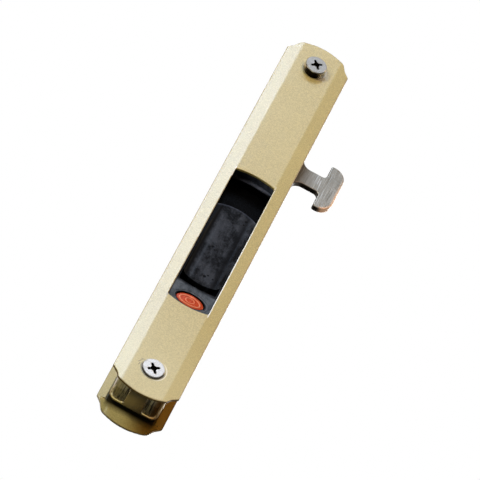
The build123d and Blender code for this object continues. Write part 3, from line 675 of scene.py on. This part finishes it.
def black_slider():
    """Black nylon with handling marks: smears, streaks, rubbed specks and pits; painted shade on the grip's
    flanks and painted highlights along its crest and round the button.
    """
    nylon = Finish("black_nylon", specular=0.04)
    smears = smear_pattern(nylon)
    pits = pit_pattern(nylon)
    streaks = nylon.noise(0.5, detail=3.0, roughness=0.6, stretch=(1.0, 1.0, 0.25), seed=23.0)
    fine = nylon.noise(1.6, detail=3.0, roughness=0.6, seed=11.0)
    specks = nylon.ramp(nylon.cells(0.55, seed=8.0), 0.03, 0.06, 1.0, 0.0)
    nylon.base = nylon.mix(nylon.ramp(smears, 0.45, 0.62), NYLON_BLACK, SMEAR_GREY)
    nylon.lay(STREAK_GREY, nylon.ramp(streaks, 0.45, 0.75, 0.0, 0.6))
    nylon.lay(FINE_GREY, nylon.ramp(fine, 0.52, 0.75, 0.0, 0.25))
    add_pad(nylon)
    add_flanks(nylon)
    add_crest(nylon)
    nylon.lay(SPECK_GREY, specks, 0.5)
    add_well(nylon)
    nylon.lay(PIT_BLACK, pits)
    nylon.drive("roughness", nylon.ramp(smears, 0.35, 0.65, 0.34, 0.52))
    nylon.relief(fine, 0.012)
    nylon.relief(nylon.product(pits, -1.0), 0.08)
    return nylon.done()


def orange_button(name="orange_plastic", tones=BUTTON_TONES):
    """Orange-red plastic, rubbed paler in places."""
    plastic = Finish(name, specular=0.12)
    clouds = plastic.noise(0.5, detail=3.0)
    fine = plastic.noise(1.8, detail=2.0, seed=4.0)
    plastic.cloud(tones, clouds)
    plastic.lay(RUBBED_ORANGE, plastic.ramp(fine, 0.5, 0.75, 0.0, 0.4))
    plastic.drive("roughness", plastic.spread(clouds, 0.34, 0.46))
    plastic.relief(plastic.noise(2.2, detail=2.0), 0.010)
    return plastic.done()


def brushed(name, tones, along, roughness_span, scratch_share):
    """Bare metal with fine lines along one axis, or none, and a few brighter scratches."""
    metal = Finish(name, metallic=1.0)
    across = tuple(0.05 if axis == along else 1.0 for axis in "xyz")
    lines = metal.noise(2.6, detail=3.0, roughness=0.7, stretch=across)
    scratches = metal.noise(1.1, detail=2.0, roughness=0.8, stretch=across, seed=17.0)
    clouds = metal.noise(0.12, detail=3.0, seed=5.0)
    metal.cloud(tones, lines)
    metal.lay(tones[1], metal.ramp(clouds, 0.35, 0.7, 0.0, 0.3))
    metal.lay(SCRATCH_WHITE, metal.ramp(scratches, 0.62, 0.7, 0.0, scratch_share))
    smoothest, roughest = roughness_span
    metal.drive("roughness", metal.spread(lines, smoothest, roughest))
    metal.relief(lines, 0.008)
    return metal


def hook_rim_reflection(metal):
    """Share of painted reflection on the hook's rounded outer rim, weaker towards its top."""
    above = metal.beyond(metal.maths("SUBTRACT", metal.z, HOOK_HEIGHT), HOOK_HALF - HOOK_NOSE)
    past = metal.beyond(metal.x, HOOK_END - HOOK_NOSE)
    rim = metal.ramp(metal.length(above, past), HOOK_NOSE - 1.2, HOOK_NOSE - 0.5)
    lower = metal.ramp(metal.z, HOOK_HEIGHT - 2.0, HOOK_HEIGHT + 9.0, 0.45, 0.05)
    return metal.product(rim, lower, metal.ramp(metal.x, HOOK_END - 5.0, HOOK_END - 3.0))


def hook_steel():
    """Satin stainless, brushed along Z, darker and browner towards its root, with painted shade on its sides
    and a painted peach reflection on its outer rim.
    """
    metal = brushed("satin_stainless", HOOK_TONES, "z", (0.30, 0.42), 0.22)
    # Darker and browner towards the root
    metal.lay(ROOT_BROWN, metal.ramp(metal.x, ROOT_BROWN_START, ROOT_BROWN_END, 0.9, 0.0))
    metal.lay(HOOK_SIDE_SHADE, metal.ramp(metal.normal_share(1), 0.35, 0.75, 0.92, 0.0))
    metal.lay(RIM_PEACH_REFLECTION, hook_rim_reflection(metal))
    return metal.done()


def add_screw_shade_and_glints(metal, blotches, side, lift, rim_width):
    """Dirt and painted shade in one screw's recess, painted shade on the side of its head, with painted
    glints where it stands proud.
    """
    top = HEAD_TOP - lift
    near = metal.ramp(metal.product(metal.z, side), 0.0, 1.0)
    radius = metal.radius_from(0.0, side * SCREW_OFFSET)
    below = metal.ramp(metal.y, top + 0.12, top + 0.3)
    within = metal.ramp(radius, RECESS_RADIUS, RECESS_RADIUS + 0.1, 1.0, 0.0)
    metal.lay(RECESS_DIRT_AND_SHADE, within, below, near)
    outer = metal.ramp(radius, HEAD_RADIUS - rim_width, HEAD_RADIUS - rim_width + 0.3)
    drop = metal.product(metal.maths("SUBTRACT", metal.z, side * SCREW_OFFSET), 1 / HEAD_RADIUS)
    shaded = metal.ramp(metal.maths("SUBTRACT", drop, metal.product(metal.x, 0.06)), 0.1, -0.3)
    glints = metal.ramp(blotches, 0.46, 0.58, 0.0, 1.0 if lift else 0.0)
    side_shade_tone = metal.mix(glints, HEAD_SIDE_SHADE, HEAD_GLINT)
    metal.lay(side_shade_tone, metal.largest(below, shaded), outer, near, 0.9)
    if lift:
        # Painted darker reflection on the head that stands proud
        metal.lay(LOOSE_HEAD_DARK_REFLECTION, near, 0.55)


def screw_steel():
    """Bright plating on the driven screw, with a painted darker reflection on the one that stands proud."""
    metal = brushed("nickel_plate", SCREW_TONES, None, (0.26, 0.32), 0.0)
    blotches = metal.noise(0.42, detail=1.0, stretch=(1.0, 1.6, 1.0), seed=41.0)
    add_screw_shade_and_glints(metal, blotches, side=-1, lift=0.0, rim_width=0.6)
    add_screw_shade_and_glints(metal, blotches, side=1, lift=LOOSE_SCREW_LIFT, rim_width=0.35)
    return metal.done()


def plain_steel():
    """Zinc-plated steel with lines along X."""
    return brushed("zinc_plate", PLAIN_TONES, "x", (0.3, 0.5), 0.3).done()


def spring_steel():
    """Drawn wire."""
    return brushed("spring_wire", SPRING_TONES, "z", (0.25, 0.4), 0.2).done()


def post_brass():
    """Turned brass."""
    return brushed("turned_brass", BRASS_TONES, "x", (0.25, 0.4), 0.2).done()


def cast_zinc():
    """As-cast zinc: dull grey with flow clouds and a fine grain."""
    zinc = Finish("cast_zinc", metallic=0.9)
    clouds = zinc.noise(0.3, detail=4.0, roughness=0.65)
    grain = zinc.noise(3.0, detail=3.0, roughness=0.7, seed=9.0)
    zinc.cloud(CAST_TONES, clouds)
    zinc.drive("roughness", zinc.spread(grain, 0.45, 0.65))
    zinc.relief(grain, 0.03)
    return zinc.done()


def white_nylon():
    """Natural nylon, faintly clouded."""
    nylon = Finish("natural_nylon", specular=0.4)
    clouds = nylon.noise(0.4, detail=3.0)
    nylon.cloud(NATURAL_TONES, clouds)
    nylon.drive("roughness", nylon.spread(clouds, 0.4, 0.55))
    nylon.relief(clouds, 0.01)
    return nylon.done()


def black_rubber():
    """Matt rubber with a fine grain."""
    rubber = Finish("black_rubber", specular=0.3)
    grain = rubber.noise(3.5, detail=3.0, roughness=0.7)
    rubber.cloud(RUBBER_TONES, grain)
    rubber.drive("roughness", rubber.spread(grain, 0.7, 0.85))
    rubber.relief(grain, 0.02)
    return rubber.done()


FINISHES = {
    "plate_gold": plate_gold,
    "case_gold": case_gold,
    "black_liner": black_liner,
    "black_slider": black_slider,
    "orange_button": orange_button,
    "hook_steel": hook_steel,
    "screw_steel": screw_steel,
    "plain_steel": plain_steel,
    "spring_steel": spring_steel,
    "cast_zinc": cast_zinc,
    "post_brass": post_brass,
    "white_nylon": white_nylon,
    "black_rubber": black_rubber,
}


def paint_nodes():
    """Gives every node of the frame its slot's finish."""
    made = {slot: finish() for slot, finish in FINISHES.items()}
    for row in frame["record"]["subparts"]:
        node = frame["nodes"][row["node"]]
        node.data.materials.clear()
        node.data.materials.append(made[row["material_slot"]])


def follow_springs():
    """Gives each spring that a joint presses a mesh of its own."""
    for joint in frame["record"]["behaviour"]["joints"]:
        for row in joint.get("deforming_nodes", []):
            spring = frame["nodes"][row["node"]]
            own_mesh(spring)


def crown_height(x, z):
    """Y of the button's crowned face, in millimetres."""
    away_squared = x ** 2 + z ** 2
    return BUTTON_TOP + BUTTON_CROWN - math.sqrt(BUTTON_CROWN ** 2 - away_squared)


def oval_points(half_x, half_z, width, height):
    """Rows of points across a ridge that follows an oval on the button's face."""
    points = []
    for step in range(OVAL_STEPS):
        angle = 2 * math.pi * step / OVAL_STEPS
        outward = Vector((math.cos(angle) / half_x, math.sin(angle) / half_z)).normalized()
        for part in range(RIDGE_STEPS + 1):
            swing = math.pi * part / RIDGE_STEPS
            reach = -math.cos(swing) * width / 2
            x = half_x * math.cos(angle) + outward.x * reach
            z = half_z * math.sin(angle) + outward.y * reach
            y = crown_height(x, z) + RIDGE_SINK - math.sin(swing) * (height + RIDGE_SINK)
            points.append(Vector((x, y, z + BUTTON_PLACE)) * MM)
    return points


def add_oval(name, half_x, half_z, width, height, material):
    """Raised closed ridge along an oval, round on top and sunk a little into the button."""
    row = RIDGE_STEPS + 1
    faces = []
    for step in range(OVAL_STEPS):
        here = step * row
        there = (step + 1) % OVAL_STEPS * row
        for part in range(row):
            after = (part + 1) % row
            faces.append((here + part, there + part, there + after, here + after))
    mesh = bpy.data.meshes.new(name)
    mesh.from_pydata(oval_points(half_x, half_z, width, height), [], faces)
    for face in mesh.polygons:
        face.use_smooth = True
    mesh.materials.append(material)
    ridge = bpy.data.objects.new(name, mesh)
    bpy.context.collection.objects.link(ridge)
    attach(ridge, "release_button")


def add_ovals():
    """Plain concentric ovals on the button's face, in a paler copy of its plastic as painted highlight on
    their ridges.
    """
    material = orange_button("orange_relief_highlight", RELIEF_HIGHLIGHT_TONES)
    for name, half_x, half_z, width, height in OVALS:
        add_oval(name, half_x, half_z, width, height, material)


def add_camera():
    """Camera where the photograph was taken from."""
    data = bpy.data.cameras.new("camera")
    data.lens = CAMERA_LENS
    data.sensor_width = CAMERA_SENSOR
    data.clip_start = 0.05
    data.clip_end = 30.0
    camera = bpy.data.objects.new("camera", data)
    camera.location = Vector(CAMERA_PLACE_MM) * MM
    camera.rotation_euler = Euler([math.radians(turn) for turn in CAMERA_TURN_DEGREES])
    bpy.context.collection.objects.link(camera)
    bpy.context.scene.camera = camera


def add_lamps():
    """Soft lamps that face the lock: a cool and a white one on the left, two warm ones right, one behind."""
    for name, place, size, watts, tint in LAMPS:
        data = bpy.data.lights.new(name, "AREA")
        data.size = size
        data.energy = watts
        data.color = tint
        lamp = bpy.data.objects.new(name, data)
        lamp.location = place
        lamp.rotation_euler = (-Vector(place)).to_track_quat("-Z", "Y").to_euler()
        bpy.context.collection.objects.link(lamp)


def square(name, size, material):
    """Flat square with a material of its own."""
    half = size / 2
    corners = [(-half, -half, 0), (half, -half, 0), (half, half, 0), (-half, half, 0)]
    mesh = bpy.data.meshes.new(name)
    mesh.from_pydata(corners, [], [(0, 1, 2, 3)])
    mesh.materials.append(material)
    flat = bpy.data.objects.new(name, mesh)
    bpy.context.collection.objects.link(flat)
    return flat


def flag_black():
    """Dead black for the card."""
    material = bpy.data.materials.new("flag_below")
    material.use_nodes = True
    shader = material.node_tree.nodes["Principled BSDF"]
    shader.inputs["Base Color"].default_value = FLAG_BLACK
    shader.inputs["Roughness"].default_value = 1.0
    shader.inputs["Specular IOR Level"].default_value = 0.0
    return material


def add_flag():
    """Black card below and behind the lock, hidden from the camera, which the case's end mirrors."""
    card = square("flag_below", FLAG_SIZE, flag_black())
    card.location = FLAG_PLACE
    card.rotation_euler = (-Vector(FLAG_PLACE)).to_track_quat("Z", "Y").to_euler()
    card.visible_camera = False


def seen_plainly(tree, strength, strength_elsewhere):
    """One strength for what the camera sees, also mirrored or through glass, and one for light given off."""
    path = tree.nodes.new("ShaderNodeLightPath")
    shown = path.outputs["Is Camera Ray"]
    for ray in ("Is Glossy Ray", "Is Transmission Ray"):
        add = tree.nodes.new("ShaderNodeMath")
        add.operation = "MAXIMUM"
        tree.links.new(shown, add.inputs[0])
        tree.links.new(path.outputs[ray], add.inputs[1])
        shown = add.outputs[0]
    chosen = tree.nodes.new("ShaderNodeMapRange")
    tree.links.new(shown, chosen.inputs["Value"])
    chosen.inputs["To Min"].default_value = strength_elsewhere
    chosen.inputs["To Max"].default_value = strength
    return chosen.outputs[0]


def add_world():
    """White surroundings, dimmer for the light that they give."""
    world = bpy.data.worlds.new("white_room")
    world.use_nodes = True
    background = world.node_tree.nodes["Background"]
    background.inputs["Color"].default_value = WHITE + (1.0,)
    strength = seen_plainly(world.node_tree, 1.0, ROOM_STRENGTH)
    world.node_tree.links.new(strength, background.inputs["Strength"])
    bpy.context.scene.world = world


def pale_floor():
    """Pale grey that glows where it is seen or mirrored, and gives off no light."""
    material = bpy.data.materials.new("pale_floor")
    material.use_nodes = True
    tree = material.node_tree
    shader = tree.nodes["Principled BSDF"]
    shader.inputs["Base Color"].default_value = FLOOR_GREY
    shader.inputs["Roughness"].default_value = 0.9
    shader.inputs["Emission Color"].default_value = WHITE + (1.0,)
    tree.links.new(seen_plainly(tree, FLOOR_GLOW, 0.0), shader.inputs["Emission Strength"])
    return material


def add_floor():
    """Pale floor, far enough below for the camera to look up at the lock."""
    floor = square("floor", FLOOR_SIZE, pale_floor())
    floor.location.z = FLOOR_HEIGHT


paint_nodes()
follow_springs()
add_ovals()
add_camera()
add_lamps()
add_flag()
add_world()
add_floor()
bpy.context.scene.view_settings.view_transform = "Standard"
